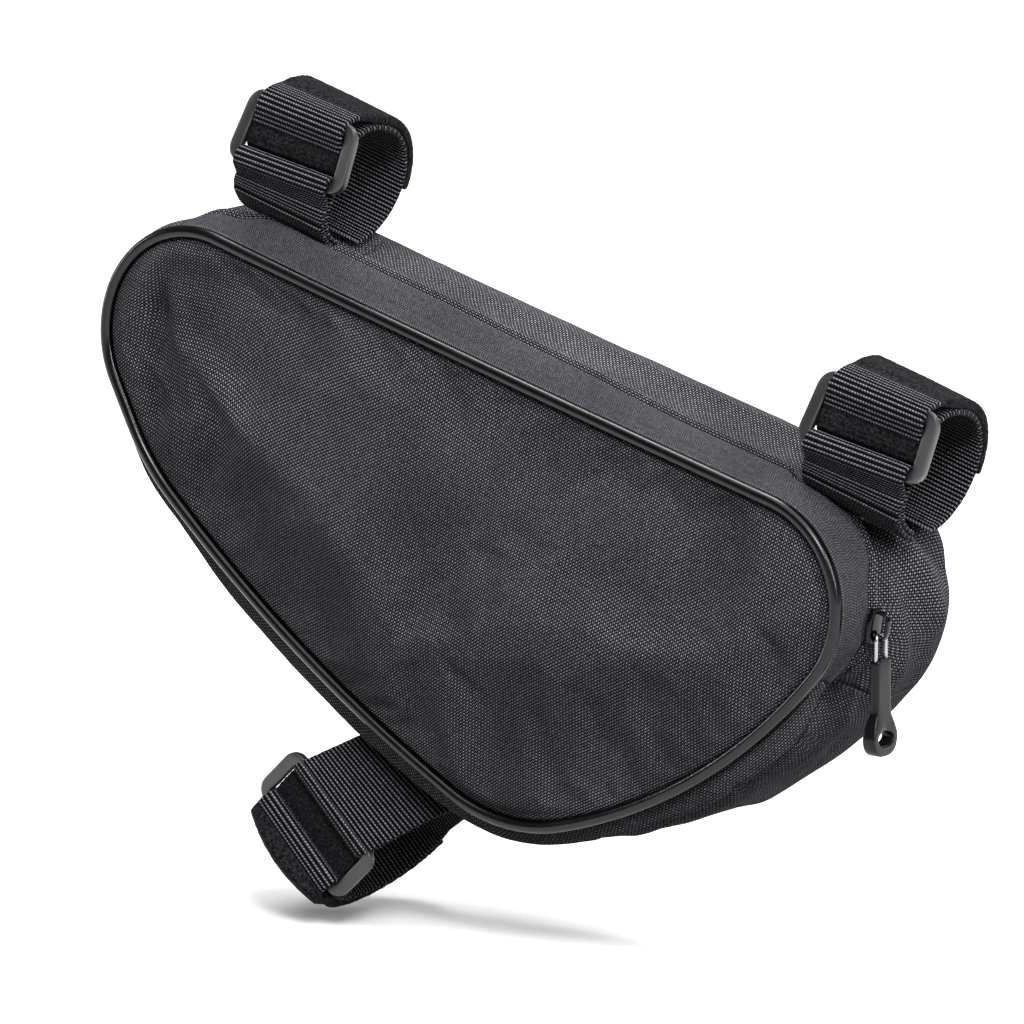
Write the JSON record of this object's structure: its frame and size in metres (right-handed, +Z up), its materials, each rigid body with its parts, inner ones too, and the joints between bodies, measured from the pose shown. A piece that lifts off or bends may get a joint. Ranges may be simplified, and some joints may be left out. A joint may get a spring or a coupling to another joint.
{
  "type": "bicycle frame bag",
  "caption": "Triangular zipped cloth bag for the front corner of a bicycle frame, with piped edges and three hook-and-loop straps through plastic rings.",
  "frame": {"origin": "on the axis of the bicycle's top tube, midway between the two upper straps as the picture shows them fastened", "axes": "+Z is up with the bag on the bicycle, +X towards the rear of the bicycle, +Y away from the front panel; the top tube falls 17.9 degrees towards +X"},
  "size_m": [0.3296, 0.071, 0.2756],
  "materials": {
    "cloth": "matte black woven polyester",
    "tape": "matte black herringbone tape",
    "webbing": "matte black ribbed webbing",
    "vinyl": "semi-gloss black vinyl",
    "plastic": "satin black moulded plastic",
    "grip": "satin black soft vinyl",
    "chain": "black coil",
    "metal": "gloss black enamel"
  },
  "bodies": {
    "bag": {"front_panel": "cloth", "back_panel": "cloth", "front_piping": "vinyl", "back_piping": "vinyl", "zip_tape": "tape", "zip_chain": "chain", "gusset_top": "cloth", "gusset_bottom": "cloth", "zip_slider": "metal", "front_strap_anchor": "webbing", "front_strap_ring": "plastic", "front_strap_band": "webbing", "rear_strap_anchor": "webbing", "rear_strap_ring": "plastic", "rear_strap_band": "webbing", "lower_strap_anchor": "webbing", "lower_strap_ring": "plastic", "lower_strap_band": "webbing"},
    "pull": {"pull_wire": "metal", "pull_grip": "grip"}
  },
  "joints": [
    {"name": "pull_swing", "type": "hinge", "parent": "bag", "child": "pull", "pos_m": [0.11635, -0.01604, -0.09091], "axis": [0, 1, 0], "range_deg": [-155, 24]}
  ]
}
